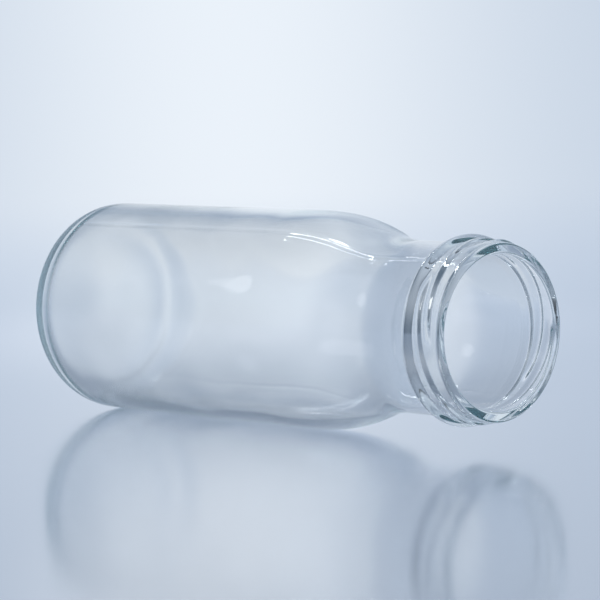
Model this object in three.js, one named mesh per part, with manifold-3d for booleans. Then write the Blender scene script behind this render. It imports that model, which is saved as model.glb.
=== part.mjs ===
// Wide-mouth glass milk bottle, moulded in one piece, lying on its side.
// Millimetres. +X runs from the base to the mouth, +Z is up, and the bottle rests on z = 0.
// The origin is under the middle of the bottle, on the line where its side touches the floor.
import * as THREE from 'three';
import { mergeVertices } from 'three/addons/utils/BufferGeometryUtils.js';
import Module from 'manifold-3d';

// Overall
const TOTAL_LENGTH = 161.5;
const BODY_RADIUS = 30.5;
const WALL = 2.6;
const SIDES = 32;

// Base: a flat bearing ring round a shallow push-up and a rounded heel, with the inside following them
const BEARING_OUTER_RADIUS = 25;
const BEARING_INNER_RADIUS = 21;
const PUSH_UP = 3.2;
const BASE_THICKNESS = 3.6;
const HEEL_HEIGHT = 8.5;
const FLOOR_RADIUS = 22.6;
const FLOOR_SWELL = 3;
const INNER_HEEL_TOP = 9.9;

// Shoulder and neck, as distances below the sealing land of the lip
const SHOULDER_DEPTH = 72;
const NECK_DEPTH = 30;
const NECK_RADIUS = 23.2;
const SHOULDER_BODY_PULL = 0.68;
const SHOULDER_NECK_PULL = 0.4;
const INNER_SHOULDER_DROP = 1.5;

// Transfer bead under the threads
const BEAD_DEPTH = 11;
const BEAD_RADIUS = 25.4;
const BEAD_HALF_WIDTH = 2.1;

// Finish: the straight wall that carries the threads, and the rounded lip
const FINISH_RADIUS = 23.6;
const BORE_RADIUS = 20.6;
const LIP_OUTER_ROUND = 0.9;
const LIP_INNER_ROUND = 0.7;

// Threads: lugs that start near the lip and run down clockwise to the bead
const LUG_COUNT = 4;
const LUG_ROD_RADIUS = 1.25;
const LUG_PROUD = 0.9;
const LUG_START_DEPTH = 3.1;
const LUG_END_DEPTH = 8.4;
const LUG_SPAN = THREE.MathUtils.degToRad(140);
const LUG_FIRST_ANGLE = THREE.MathUtils.degToRad(-95);
const LUG_RUN_OUT = 0.1;
const LUG_SINK = 1.0;
const LUG_ARC_STEPS = 4;
const LUG_STEPS = 20;

const LIP = TOTAL_LENGTH;
const SHOULDER_START = LIP - SHOULDER_DEPTH;
const NECK_START = LIP - NECK_DEPTH;
const BEAD_CENTRE = LIP - BEAD_DEPTH;
const BODY_BORE_RADIUS = BODY_RADIUS - WALL;
const NECK_BORE_RADIUS = NECK_RADIUS - WALL;
// Each round is a polygon drawn round its circle, so the middle of a side is at the true radius.
const CORNER_SCALE = 1 / Math.cos(Math.PI / SIDES);

// Points on a quarter of an ellipse, from angle a to angle b in turns of 90 degrees.
function quarter(centreRadius, centreStation, radial, axial, a, b, steps) {
  const points = [];
  for (let i = 0; i <= steps; i += 1) {
    const angle = (a + ((b - a) * i) / steps) * (Math.PI / 2);
    const r = centreRadius + radial * Math.sin(angle);
    const s = centreStation + axial * Math.cos(angle);
    points.push(new THREE.Vector2(r, s));
  }
  return points;
}

// A smooth swell from the axis out to its rim, for the hollow under the base and the floor over it.
function swell(rimRadius, rimStation, height, steps) {
  const points = [];
  for (let i = 0; i <= steps; i += 1) {
    const share = i / steps;
    const rise = height * (0.5 + 0.5 * Math.cos(Math.PI * share));
    points.push(new THREE.Vector2(rimRadius * share, rimStation + rise));
  }
  return points;
}

// The S-shaped sweep between body and neck, level with the axis at both ends.
function shoulder(bodyRadius, bodyStation, neckRadius, neckStation, steps) {
  const reach = neckStation - bodyStation;
  const curve = new THREE.CubicBezierCurve(
    new THREE.Vector2(bodyRadius, bodyStation),
    new THREE.Vector2(bodyRadius, bodyStation + SHOULDER_BODY_PULL * reach),
    new THREE.Vector2(neckRadius, neckStation - SHOULDER_NECK_PULL * reach),
    new THREE.Vector2(neckRadius, neckStation),
  );
  return curve.getPoints(steps);
}

// The bead is a rounded ridge that blends into the wall on both sides.
function bead(steps) {
  const points = [];
  for (let i = 0; i <= steps; i += 1) {
    const t = -1 + (2 * i) / steps;
    const wall = t < 0 ? NECK_RADIUS : FINISH_RADIUS;
    const rise = Math.cos((t * Math.PI) / 2) ** 1.2;
    points.push(new THREE.Vector2(wall + (BEAD_RADIUS - wall) * rise, BEAD_CENTRE + t * BEAD_HALF_WIDTH));
  }
  return points;
}

function bottleProfile() {
  const outerHeelReach = BODY_RADIUS - BEARING_OUTER_RADIUS;
  const innerHeelReach = BODY_BORE_RADIUS - FLOOR_RADIUS;
  const innerShoulderStart = SHOULDER_START - INNER_SHOULDER_DROP;
  return [
    ...swell(BEARING_INNER_RADIUS, 0, PUSH_UP, 6),
    ...quarter(BEARING_OUTER_RADIUS, HEEL_HEIGHT, outerHeelReach, -HEEL_HEIGHT, 0, 1, 8),
    ...shoulder(BODY_RADIUS, SHOULDER_START, NECK_RADIUS, NECK_START, 16),
    ...bead(8),
    ...quarter(
      FINISH_RADIUS - LIP_OUTER_ROUND, LIP - LIP_OUTER_ROUND, LIP_OUTER_ROUND, LIP_OUTER_ROUND, 1, 0, 4,
    ),
    ...quarter(
      BORE_RADIUS + LIP_INNER_ROUND, LIP - LIP_INNER_ROUND, -LIP_INNER_ROUND, LIP_INNER_ROUND, 0, 1, 4,
    ),
    ...shoulder(BODY_BORE_RADIUS, innerShoulderStart, NECK_BORE_RADIUS, NECK_START, 14).reverse(),
    ...quarter(FLOOR_RADIUS, INNER_HEEL_TOP, innerHeelReach, BASE_THICKNESS - INNER_HEEL_TOP, 1, 0, 8),
    ...swell(FLOOR_RADIUS, BASE_THICKNESS, FLOOR_SWELL, 6).reverse().slice(1),
  ];
}

// Turned about Y with the middle of a side facing down once Y has been laid along X.
function turnedBottle() {
  const turned = new THREE.LatheGeometry(bottleProfile(), SIDES, Math.PI / SIDES);
  return turned.scale(CORNER_SCALE, 1, CORNER_SCALE);
}

// Centre line of one lug, which sinks into the wall at both ends.
class LugLine extends THREE.Curve {
  constructor(startAngle) {
    super();
    this.startAngle = startAngle;
  }

  getPoint(t, target = new THREE.Vector3()) {
    const fromEnd = Math.min(t, 1 - t);
    const sunk = Math.max(0, 1 - fromEnd / LUG_RUN_OUT);
    const r = FINISH_RADIUS + LUG_PROUD - LUG_ROD_RADIUS - LUG_SINK * sunk * sunk;
    const angle = this.startAngle + LUG_SPAN * t;
    const depth = LUG_START_DEPTH + (LUG_END_DEPTH - LUG_START_DEPTH) * t;
    return target.set(-r * Math.sin(angle), LIP - depth, r * Math.cos(angle));
  }
}

function lug(index) {
  const section = new THREE.Shape();
  section.absarc(0, 0, LUG_ROD_RADIUS, 0, 2 * Math.PI, false);
  return new THREE.ExtrudeGeometry(section, {
    steps: LUG_STEPS,
    curveSegments: LUG_ARC_STEPS,
    extrudePath: new LugLine(LUG_FIRST_ANGLE + (2 * Math.PI * index) / LUG_COUNT),
  });
}

const wasm = await Module();
wasm.setup();

function toSolid(geometry) {
  geometry.deleteAttribute('normal');
  geometry.deleteAttribute('uv');
  const welded = mergeVertices(geometry, 1e-4);
  return new wasm.Manifold(new wasm.Mesh({
    numProp: 3,
    vertProperties: new Float32Array(welded.attributes.position.array),
    triVerts: new Uint32Array(welded.index.array),
  }));
}

function toGeometry(solid) {
  const mesh = solid.getMesh();
  const geometry = new THREE.BufferGeometry();
  geometry.setAttribute('position', new THREE.BufferAttribute(mesh.vertProperties, 3));
  geometry.setIndex(new THREE.BufferAttribute(mesh.triVerts, 1));
  return geometry;
}

let glass = toSolid(turnedBottle());
for (let i = 0; i < LUG_COUNT; i += 1) {
  glass = glass.add(toSolid(lug(i)));
}

const geometry = toGeometry(glass);
geometry.rotateZ(-Math.PI / 2);
geometry.translate(-TOTAL_LENGTH / 2, 0, BODY_RADIUS);
geometry.computeVertexNormals();

const clearGlass = new THREE.MeshStandardMaterial({ color: 0xd8e9ee, roughness: 0.05, metalness: 0 });
const bottle = new THREE.Mesh(geometry, clearGlass);
bottle.name = 'glass_bottle';

const part = new THREE.Group();
part.name = 'milk_bottle';
part.add(bottle);

export default part;
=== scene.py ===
"""Glass milk bottle on its side, on a glossy pale floor, in a pale blue studio."""

import math

import bpy
import numpy as np
from mathutils import Matrix, Vector


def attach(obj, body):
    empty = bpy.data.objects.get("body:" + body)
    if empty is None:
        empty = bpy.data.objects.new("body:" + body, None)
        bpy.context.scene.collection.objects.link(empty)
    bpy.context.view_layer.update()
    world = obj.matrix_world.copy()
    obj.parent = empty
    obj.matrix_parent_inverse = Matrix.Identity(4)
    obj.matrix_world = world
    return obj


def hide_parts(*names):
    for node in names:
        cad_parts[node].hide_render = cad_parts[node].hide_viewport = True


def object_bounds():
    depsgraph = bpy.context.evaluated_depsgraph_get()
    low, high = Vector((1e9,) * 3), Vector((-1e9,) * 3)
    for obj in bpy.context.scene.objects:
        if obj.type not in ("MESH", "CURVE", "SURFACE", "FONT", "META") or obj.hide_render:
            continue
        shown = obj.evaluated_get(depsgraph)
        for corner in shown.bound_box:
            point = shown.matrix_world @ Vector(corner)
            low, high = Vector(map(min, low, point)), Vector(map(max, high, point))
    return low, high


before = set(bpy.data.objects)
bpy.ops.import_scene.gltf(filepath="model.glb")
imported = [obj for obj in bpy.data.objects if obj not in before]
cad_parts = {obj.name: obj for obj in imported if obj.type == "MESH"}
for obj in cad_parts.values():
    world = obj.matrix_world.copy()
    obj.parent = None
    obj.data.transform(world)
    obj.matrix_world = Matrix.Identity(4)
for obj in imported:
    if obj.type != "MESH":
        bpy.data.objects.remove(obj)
cad_low, cad_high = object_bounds()

MM = 0.001
TAU = 2 * math.pi

# ------------------------------------------------------------------ the bottle, in millimetres
# Stations run along the axis from the bearing ring (0) to the sealing land (LIP).
LIP = (cad_high.x - cad_low.x) / MM
BASE_X = cad_low.x
# The CAD body rests on the middle of a flat side, so half its height is its inscribed radius.
BODY_RADIUS = (cad_high.z - cad_low.z) / 2 / MM
AXIS_Z = (cad_high.z + cad_low.z) / 2

WALL = 2.6
BEARING_OUTER_RADIUS = 25.0
BEARING_INNER_RADIUS = 21.0
PUSH_UP = 3.2
BASE_THICKNESS = 3.6
HEEL_HEIGHT = 8.5
FLOOR_RADIUS = 22.6
FLOOR_SWELL = 3.0
INNER_HEEL_TOP = 9.9
SHOULDER_START = LIP - 72.0
NECK_START = LIP - 30.0
NECK_RADIUS = 23.2
SHOULDER_BODY_PULL = 0.68
SHOULDER_NECK_PULL = 0.40
INNER_SHOULDER_DROP = 1.5
BEAD_CENTRE = LIP - 11.0
BEAD_RADIUS = 25.4
BEAD_HALF_WIDTH = 2.1
BEAD_SHARPNESS = 1.2
FINISH_RADIUS = 23.6
BORE_RADIUS = 20.6
LIP_OUTER_ROUND = 0.9
LIP_INNER_ROUND = 0.7

LUG_COUNT = 4
LUG_FIRST_ANGLE = math.radians(-95)
LUG_SPAN = math.radians(140)
LUG_START_DEPTH = 3.1
LUG_END_DEPTH = 8.4
LUG_PROUD = 0.9
LUG_CREST_HALF = 0.4
LUG_FOOT_HALF = 1.45
LUG_RUN_OUT = math.radians(20)
# The lugs stop short of the land by this much.
LUG_LAND_GAP = 0.3

SEAM_ANGLE = math.radians(-32)
SEAM_HEIGHT = 0.10
SEAM_HALF_WIDTH = 0.35
SEAM_BASE_FADE = (3, 9)
SEAM_LIP_FADE = (LIP - 1, LIP - 3)

SIDES = 256

# The blown inside wall: long smooth waves that fade out towards the base and the mouth.
RIPPLE_SEED = 7
RIPPLE_WAVES = 14
RIPPLE_SIZE = 0.022
RIPPLE_TURNS = (1, 7)
RIPPLE_LENGTHS = (22, 70)
RIPPLE_BASE_FADE = (8, 30)
RIPPLE_MOUTH_FADE = (LIP - 10, LIP - 30)


def smooth(edge0, edge1, x):
    """Rises from 0 at edge0 to 1 at edge1, level at both."""
    t = np.clip((x - edge0) / (edge1 - edge0), 0, 1)
    return t * t * (3 - 2 * t)


def quarter(r0, s0, radial, axial, a, b, steps):
    """Part of a quarter ellipse about (r0, s0), from a to b in turns of 90 degrees."""
    angle = (a + (b - a) * np.linspace(0, 1, steps + 1)) * (math.pi / 2)
    return np.stack([r0 + radial * np.sin(angle), s0 + axial * np.cos(angle)], 1)


def sweep(r0, s0, r1, s1, steps):
    """The shoulder's S curve, level with the axis at both ends."""
    t = np.linspace(0, 1, steps + 1)[:, None]
    reach = s1 - s0
    p = np.array([
        [r0, s0],
        [r0, s0 + SHOULDER_BODY_PULL * reach],
        [r1, s1 - SHOULDER_NECK_PULL * reach],
        [r1, s1],
    ])
    u = 1 - t
    return u**3 * p[0] + 3 * u * u * t * p[1] + 3 * u * t * t * p[2] + t**3 * p[3]


def straight(r0, s0, r1, s1, steps):
    t = np.linspace(0, 1, steps + 1)[:, None]
    return (1 - t) * np.array([r0, s0]) + t * np.array([r1, s1])


def bead(steps):
    """The rounded ridge under the threads, blending into the wall on both sides."""
    t = np.linspace(-1, 1, steps + 1)
    wall = np.where(t < 0, NECK_RADIUS, FINISH_RADIUS)
    rise = np.cos(t * math.pi / 2).clip(0) ** BEAD_SHARPNESS
    return np.stack([wall + (BEAD_RADIUS - wall) * rise, BEAD_CENTRE + t * BEAD_HALF_WIDTH], 1)


def swell(rim, s0, rise, steps):
    """From the centre out to the rim: the hollow under the base, and the floor over it."""
    share = np.linspace(0, 1, steps + 1)
    return np.stack([rim * share, s0 + rise * (0.5 + 0.5 * np.cos(math.pi * share))], 1)


def outer_profile():
    """From the middle of the base to the sealing land. Each stretch ends with its number of steps."""
    return np.concatenate([
        swell(BEARING_INNER_RADIUS, 0, PUSH_UP, 24),
        straight(BEARING_INNER_RADIUS, 0, BEARING_OUTER_RADIUS, 0, 4)[1:-1],
        quarter(BEARING_OUTER_RADIUS, HEEL_HEIGHT, BODY_RADIUS - BEARING_OUTER_RADIUS,
                -HEEL_HEIGHT, 0, 1, 22),
        straight(BODY_RADIUS, HEEL_HEIGHT, BODY_RADIUS, SHOULDER_START, 40)[1:-1],
        sweep(BODY_RADIUS, SHOULDER_START, NECK_RADIUS, NECK_START, 48),
        bead(26),
        straight(FINISH_RADIUS, BEAD_CENTRE + BEAD_HALF_WIDTH,
                 FINISH_RADIUS, LIP - LIP_OUTER_ROUND, 36)[1:-1],
        quarter(FINISH_RADIUS - LIP_OUTER_ROUND, LIP - LIP_OUTER_ROUND,
                LIP_OUTER_ROUND, LIP_OUTER_ROUND, 1, 0, 10),
    ])


def inner_profile():
    """From the sealing land down the bore and the inside wall to the middle of the base."""
    wall_radius = BODY_RADIUS - WALL
    parts = [
        quarter(BORE_RADIUS + LIP_INNER_ROUND, LIP - LIP_INNER_ROUND,
                -LIP_INNER_ROUND, LIP_INNER_ROUND, 0, 1, 10),
        straight(BORE_RADIUS, LIP - LIP_INNER_ROUND, NECK_RADIUS - WALL, NECK_START, 12)[1:-1],
        sweep(wall_radius, SHOULDER_START - INNER_SHOULDER_DROP,
              NECK_RADIUS - WALL, NECK_START, 48)[::-1],
        straight(wall_radius, SHOULDER_START - INNER_SHOULDER_DROP,
                 wall_radius, INNER_HEEL_TOP, 40)[1:-1],
        quarter(FLOOR_RADIUS, INNER_HEEL_TOP, wall_radius - FLOOR_RADIUS,
                BASE_THICKNESS - INNER_HEEL_TOP, 1, 0, 28),
        swell(FLOOR_RADIUS, BASE_THICKNESS, FLOOR_SWELL, 28)[::-1][1:],
    ]
    return np.concatenate(parts)


def lug_rise(station, angle):
    """How far the thread lugs stand out of the finish wall. angle is clockwise from the top."""
    depth = LIP - station
    rise = np.zeros(np.broadcast(station, angle).shape)
    for i in range(LUG_COUNT):
        along = (angle - LUG_FIRST_ANGLE - TAU * i / LUG_COUNT) % TAU
        share = along / LUG_SPAN
        centre = LUG_START_DEPTH + (LUG_END_DEPTH - LUG_START_DEPTH) * share
        ends = smooth(0, LUG_RUN_OUT, along) * smooth(0, LUG_RUN_OUT, LUG_SPAN - along)
        across = 1 - smooth(LUG_CREST_HALF, LUG_FOOT_HALF, np.abs(depth - centre))
        rise = np.maximum(rise, LUG_PROUD * across * ends * (along < LUG_SPAN))
    return rise


def seam_rise(radius, angle):
    """The fine ridge where the two halves of the mould meet."""
    rise = 0
    for a in (SEAM_ANGLE, SEAM_ANGLE + math.pi):
        off = (angle - a + math.pi) % TAU - math.pi
        rise = rise + SEAM_HEIGHT * np.exp(-((off * radius / SEAM_HALF_WIDTH) ** 2))
    return rise


def inner_ripple(station, angle):
    """The uneven blown inside: a few long smooth waves, fading out at the mouth and the base."""
    rng = np.random.default_rng(RIPPLE_SEED)
    wave = np.zeros(np.broadcast(station, angle).shape)
    for _ in range(RIPPLE_WAVES):
        turns = rng.integers(*RIPPLE_TURNS)
        length = rng.uniform(*RIPPLE_LENGTHS)
        around = np.sin(turns * angle + rng.uniform(0, TAU))
        along = np.sin(TAU * station / length + rng.uniform(0, TAU))
        wave = wave + RIPPLE_SIZE * around * along
    return wave * smooth(*RIPPLE_BASE_FADE, station) * smooth(*RIPPLE_MOUTH_FADE, station)


def skin_faces(rows):
    """Faces between the rings of points, and a fan to the middle point at each end."""
    faces = []
    for j in range(rows - 1):
        for k in range(SIDES):
            n = (k + 1) % SIDES
            faces.append((j * SIDES + k, (j + 1) * SIDES + k, (j + 1) * SIDES + n, j * SIDES + n))
    first, last = rows * SIDES, rows * SIDES + 1
    for k in range(SIDES):
        n = (k + 1) % SIDES
        faces.append((first, k, n))
        faces.append((last, (rows - 1) * SIDES + n, (rows - 1) * SIDES + k))
    return faces


def build_bottle():
    """The whole skin of the glass in one mesh: up the outside, over the lip and down the inside."""
    outer, inner = outer_profile(), inner_profile()
    angle = np.arange(SIDES) * TAU / SIDES
    r_out, s_out = outer[:, :1], outer[:, 1:]
    grown = np.repeat(r_out, SIDES, 1)
    in_finish = (s_out > BEAD_CENTRE) & (s_out < LIP - LUG_LAND_GAP)
    grown = grown + lug_rise(s_out, angle[None]) * in_finish
    seam_zone = smooth(*SEAM_BASE_FADE, s_out) * smooth(*SEAM_LIP_FADE, s_out)
    grown = grown + seam_rise(r_out, angle[None]) * seam_zone
    r_in, s_in = inner[:, :1], inner[:, 1:]
    hollow = np.repeat(r_in, SIDES, 1) + inner_ripple(s_in, angle[None])
    radius = np.concatenate([grown[1:], hollow[:-1]])
    station = np.concatenate([outer[1:, 1], inner[:-1, 1]])
    rows = len(radius)
    x = BASE_X + np.repeat(station[:, None], SIDES, 1) * MM
    y = radius * np.sin(angle)[None] * MM
    z = AXIS_Z + radius * np.cos(angle)[None] * MM
    ring = np.stack([x, y, z], 2).reshape(-1, 3)
    tips = [[BASE_X + outer[0, 1] * MM, 0, AXIS_Z], [BASE_X + inner[-1, 1] * MM, 0, AXIS_Z]]
    verts = np.concatenate([ring, tips])
    mesh = bpy.data.meshes.new("bottle_glass")
    mesh.from_pydata(verts.tolist(), [], skin_faces(rows))
    mesh.validate()
    mesh.update()
    mesh.shade_smooth()
    obj = bpy.data.objects.new("bottle_glass", mesh)
    bpy.context.scene.collection.objects.link(obj)
    return obj


# ------------------------------------------------------------------ materials
class Nodes:
    """A short way to write a node tree."""

    def __init__(self, tree):
        self.tree = tree
        tree.nodes.clear()

    def add(self, kind, _set=None, **inputs):
        """Add a node. An input is named as i0, i1... by its place, or by its name with _ for spaces."""
        node = self.tree.nodes.new(kind)
        for key, value in (_set or {}).items():
            setattr(node, key, value)
        for key, value in inputs.items():
            by_place = key[0] == "i" and key[1:].isdigit()
            socket = node.inputs[int(key[1:]) if by_place else key.replace("_", " ")]
            if isinstance(value, bpy.types.NodeSocket):
                self.tree.links.new(value, socket)
            else:
                socket.default_value = value
        return node

    def link(self, a, b):
        self.tree.links.new(a, b)

    def remap(self, value, old, new, curve="LINEAR"):
        """Move a value from the range old to the range new, and hold it there."""
        node = self.add("ShaderNodeMapRange", {"interpolation_type": curve}, Value=value)
        node.inputs["From Min"].default_value, node.inputs["From Max"].default_value = old
        node.inputs["To Min"].default_value, node.inputs["To Max"].default_value = new
        return node.outputs["Result"]

    def blend(self, kind, share, under, over):
        """Lay the colour over on the colour under, by the given share."""
        return self.add("ShaderNodeMix", {"data_type": "RGBA", "blend_type": kind},
                        i0=share, i6=under, i7=over).outputs[2]

    def bell(self, nearness, width):
        """A bell curve of the angle from a direction, given its dot product with that direction."""
        off = self.add("ShaderNodeMath", {"operation": "SUBTRACT"}, i0=nearness, i1=1.0)
        scaled = self.add("ShaderNodeMath", {"operation": "MULTIPLY"}, i0=off.outputs[0],
                          i1=2 / width**2)
        return self.add("ShaderNodeMath", {"operation": "EXPONENT"}, i0=scaled.outputs[0]).outputs[0]


# The glass is hazier towards its base, in place of the soft focus there.
BASE_HAZE = 0.13
MOUTH_HAZE = 0.02
HAZE_FADE = (BASE_X + 20 * MM, BASE_X + 85 * MM)
HAZE_GRAIN = 160.0
HAZE_NOISE = (0.35, 0.70)
HAZE_SPREAD = (0.75, 1.15)
SURFACE_GRAIN = 45.0
SURFACE_BUMP = 0.25
SURFACE_DEPTH = 0.2 * MM
GLASS_IOR = 1.5
GLASS_TINT = (0.62, 0.77, 0.79, 1)
GLASS_DENSITY = 17.0


def glass_material():
    m = bpy.data.materials.new("clear_glass")
    m.use_nodes = True
    n = Nodes(m.node_tree)
    where = n.add("ShaderNodeTexCoord").outputs["Object"]
    ripple = n.add("ShaderNodeTexNoise", {}, Vector=where, Scale=SURFACE_GRAIN, Detail=2.0, Roughness=0.4)
    grain = n.add("ShaderNodeTexNoise", {}, Vector=where, Scale=HAZE_GRAIN, Detail=4.0, Roughness=0.6)
    fine = n.remap(grain.outputs["Fac"], HAZE_NOISE, HAZE_SPREAD)
    station = n.add("ShaderNodeSeparateXYZ", {}, Vector=where).outputs["X"]
    along = n.remap(station, HAZE_FADE, (BASE_HAZE, MOUTH_HAZE), "SMOOTHSTEP")
    rough = n.add("ShaderNodeMath", {"operation": "MULTIPLY"}, i0=fine, i1=along)
    bump = n.add("ShaderNodeBump", {}, Height=ripple.outputs["Fac"], Strength=SURFACE_BUMP,
                 Distance=SURFACE_DEPTH)
    glass = n.add("ShaderNodeBsdfPrincipled", {}, IOR=GLASS_IOR, Normal=bump.outputs["Normal"],
                  Roughness=rough.outputs[0])
    glass.inputs["Base Color"].default_value = (1, 1, 1, 1)
    glass.inputs["Transmission Weight"].default_value = 1.0
    soak = n.add("ShaderNodeVolumeAbsorption", {}, Color=GLASS_TINT, Density=GLASS_DENSITY)
    n.add("ShaderNodeOutputMaterial", {}, Surface=glass.outputs[0], Volume=soak.outputs[0])
    return m


# The floor gives a little light of its own, mirrors softly, and fades out to the studio around it.
STAGE_RADIUS = 1.4
FLOOR_SOLID = 0.26
FLOOR_END = 1.25
FLOOR_COLOUR = (0.05, 0.055, 0.065, 1)
FLOOR_ROUGHNESS = 0.16
FLOOR_GLOW = (0.165, 0.20, 0.258, 1)
MIRROR_COLOUR = (0.90, 0.94, 1.0, 1)
MIRROR_ROUGHNESS = 0.13
MIRROR_SHARE = 0.45
# A soft pool of light on the floor behind the bottle.
POOL_CENTRE = (-0.21, 0.165, 0)
POOL_RADIUS = 0.10
POOL_LIGHT = (0.11, 0.105, 0.105, 1)
# Long soft patches of light on the floor, one in front of the bottle and one behind it: the middle
# of each, its reach along and across the heading, and the light it adds.
STREAK_HEADING = math.radians(137)
STREAKS = [
    ((0.142, -0.153, 0), (0.28, 0.054, 1), (0.25, 0.235, 0.205, 1)),
    ((-0.345, 0.280, 0), (0.42, 0.110, 1), (0.22, 0.22, 0.19, 1)),
]


def floor_material():
    m = bpy.data.materials.new("glossy_floor")
    m.use_nodes = True
    n = Nodes(m.node_tree)
    where = n.add("ShaderNodeTexCoord").outputs["Object"]
    far = n.add("ShaderNodeVectorMath", {"operation": "LENGTH"}, i0=where).outputs["Value"]
    fade = n.remap(far, (FLOOR_SOLID, FLOOR_END), (0.0, 1.0), "SMOOTHSTEP")
    body = n.add("ShaderNodeBsdfPrincipled", {}, Base_Color=FLOOR_COLOUR, Roughness=FLOOR_ROUGHNESS,
                 IOR=1.5)
    gap = n.add("ShaderNodeVectorMath", {"operation": "DISTANCE"}, i0=where, i1=POOL_CENTRE)
    near = n.remap(gap.outputs["Value"], (0.0, 2 * POOL_RADIUS), (1.0, 0.0), "SMOOTHERSTEP")
    lit = n.blend("ADD", near, FLOOR_GLOW, POOL_LIGHT)
    for centre, reach, light in STREAKS:
        streak = n.add("ShaderNodeMapping", {"vector_type": "TEXTURE"}, Vector=where, Location=centre,
                       Rotation=(0, 0, STREAK_HEADING), Scale=reach)
        off = n.add("ShaderNodeVectorMath", {"operation": "LENGTH"}, i0=streak.outputs[0])
        inside = n.remap(off.outputs["Value"], (0.0, 1.0), (1.0, 0.0), "SMOOTHERSTEP")
        lit = n.blend("ADD", inside, lit, light)
    n.link(lit, body.inputs["Emission Color"])
    body.inputs["Emission Strength"].default_value = 1.0
    mirror = n.add("ShaderNodeBsdfGlossy", {}, Color=MIRROR_COLOUR, Roughness=MIRROR_ROUGHNESS)
    gloss = n.add("ShaderNodeMixShader", {}, Fac=MIRROR_SHARE, i1=body.outputs[0], i2=mirror.outputs[0])
    clear = n.add("ShaderNodeBsdfTransparent")
    mix = n.add("ShaderNodeMixShader", {}, Fac=fade, i1=gloss.outputs[0], i2=clear.outputs[0])
    n.add("ShaderNodeOutputMaterial", {}, Surface=mix.outputs[0])
    return m


# ------------------------------------------------------------------ the scene
bottle = build_bottle()
bottle.data.materials.append(glass_material())
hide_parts("glass_bottle")
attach(bottle, "root")

bpy.ops.mesh.primitive_circle_add(vertices=96, radius=STAGE_RADIUS, fill_type="TRIFAN",
                                  location=(0, 0, 0))
floor = bpy.context.object
floor.name = "floor"
floor.data.materials.append(floor_material())

# Camera: looks down the bottle from the mouth's side, long lens, slightly rolled.
AZIMUTH = math.radians(47.2)
ELEVATION = math.radians(5.4)
ROLL = math.radians(-2.0)
RADIUS = BODY_RADIUS * MM
DISTANCE = 25.65 * RADIUS
LENS = 168.3
SENSOR_WIDTH = 36.0
TARGET = Vector((cad_high.x - 2.494 * RADIUS, 0, 1.167 * RADIUS))


def facing(side, over, face):
    """The turn that points local X, Y and Z along the three given directions."""
    return Matrix((side, over, face)).transposed().to_4x4()


back = Vector((math.sin(AZIMUTH) * math.cos(ELEVATION), -math.cos(AZIMUTH) * math.cos(ELEVATION),
               math.sin(ELEVATION)))
level = Vector((math.cos(AZIMUTH), math.sin(AZIMUTH), 0))
upright = back.cross(level)
right = level * math.cos(ROLL) + upright * math.sin(ROLL)
up = upright * math.cos(ROLL) - level * math.sin(ROLL)
cam_data = bpy.data.cameras.new("camera")
cam_data.lens = LENS
cam_data.sensor_width = SENSOR_WIDTH
camera = bpy.data.objects.new("camera", cam_data)
bpy.context.scene.collection.objects.link(camera)
camera.matrix_world = Matrix.Translation(TARGET + back * DISTANCE) @ facing(right, up, back)
bpy.context.scene.camera = camera


# The studio walls low down and high up, the heights they blend between, and a glow behind the bottle.
SKY_LOW = (0.555, 0.64, 0.76, 1)
SKY_HIGH = (0.56, 0.63, 0.73, 1)
SKY_RISE = (0.03, 0.35)
GLOW_AZIMUTH = AZIMUTH + 0.02
GLOW_HEADING = (-math.sin(GLOW_AZIMUTH), math.cos(GLOW_AZIMUTH), 0)
GLOW_WIDTH = 0.10
GLOW_COLOUR = (0.83, 0.89, 0.96, 1)
# Dark cards in the studio: the way to each, its angular radius, and the colour it multiplies by.
DARK_CARDS = [
    ((-0.75, -0.62, 0.0), 0.50, (0.10, 0.14, 0.18, 1)),
    ((-0.62, -0.10, 0.75), 0.42, (0.15, 0.20, 0.25, 1)),
    ((-0.70, 0.50, 0.50), 0.22, (0.45, 0.52, 0.62, 1)),
]


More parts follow.
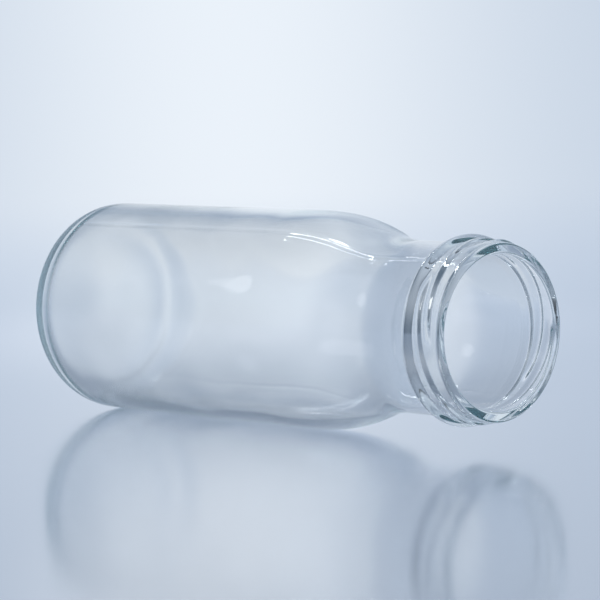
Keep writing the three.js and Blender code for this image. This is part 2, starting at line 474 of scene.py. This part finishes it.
def world_light():
    """A pale wrap of light, with a soft glow behind the bottle and dark cards to one side."""
    world = bpy.data.worlds.new("studio")
    bpy.context.scene.world = world
    world.use_nodes = True
    n = Nodes(world.node_tree)
    direction = n.add("ShaderNodeTexCoord").outputs["Generated"]
    parts = n.add("ShaderNodeSeparateXYZ", {}, Vector=direction)
    flat = n.add("ShaderNodeCombineXYZ", {}, X=parts.outputs["X"], Y=parts.outputs["Y"])
    heading = n.add("ShaderNodeVectorMath", {"operation": "NORMALIZE"}, i0=flat.outputs[0])
    toward = n.add("ShaderNodeVectorMath", {"operation": "DOT_PRODUCT"}, i0=heading.outputs[0],
                   i1=GLOW_HEADING)
    high = n.remap(parts.outputs["Z"], SKY_RISE, (0.0, 1.0), "SMOOTHSTEP")
    lit = n.blend("MIX", high, SKY_LOW, SKY_HIGH)
    lit = n.blend("MIX", n.bell(toward.outputs["Value"], GLOW_WIDTH), lit, GLOW_COLOUR)
    for way, radius, colour in DARK_CARDS:
        near = n.add("ShaderNodeVectorMath", {"operation": "DOT_PRODUCT"}, i0=direction,
                     i1=Vector(way).normalized())
        lit = n.blend("MULTIPLY", n.bell(near.outputs["Value"], radius), lit, colour)
    bg = n.add("ShaderNodeBackground", {}, Color=lit, Strength=1.0)
    n.add("ShaderNodeOutputWorld", {}, Surface=bg.outputs[0])


world_light()


def softbox(name, place, aim, along, length, width, power, colour=(1, 1, 1), shape="RECTANGLE"):
    """An area light at place, facing aim, with its long side along the given direction."""
    data = bpy.data.lights.new(name, "AREA")
    data.shape = shape
    data.size, data.size_y = width, length
    data.energy = power
    data.color = colour
    light = bpy.data.objects.new(name, data)
    bpy.context.scene.collection.objects.link(light)
    face = (Vector(place) - Vector(aim)).normalized()
    side = Vector(along).cross(face).normalized()
    light.matrix_world = Matrix.Translation(place) @ facing(side, face.cross(side), face)


softbox("overhead_strip", place=(-0.345, 0.1, 0.949), aim=(0.03, 0, 0.03), along=(0.59, 0, 0.222),
        length=0.63, width=0.03, power=1.1, colour=(0.95, 0.98, 1.0))
softbox("side_strip", place=(-0.67, -0.54, 0.47), aim=(-0.02, 0.0, 0.03), along=(0, 0.66, 0.75),
        length=0.24, width=0.12, power=0.055, shape="ELLIPSE")

# Light is trapped in the glass for many turns, and stopping it early leaves black patches.
LIGHT_BOUNCES = 128
scene = bpy.context.scene
scene.view_settings.view_transform = "Standard"
scene.cycles.max_bounces = LIGHT_BOUNCES
scene.cycles.transmission_bounces = LIGHT_BOUNCES
scene.cycles.glossy_bounces = LIGHT_BOUNCES
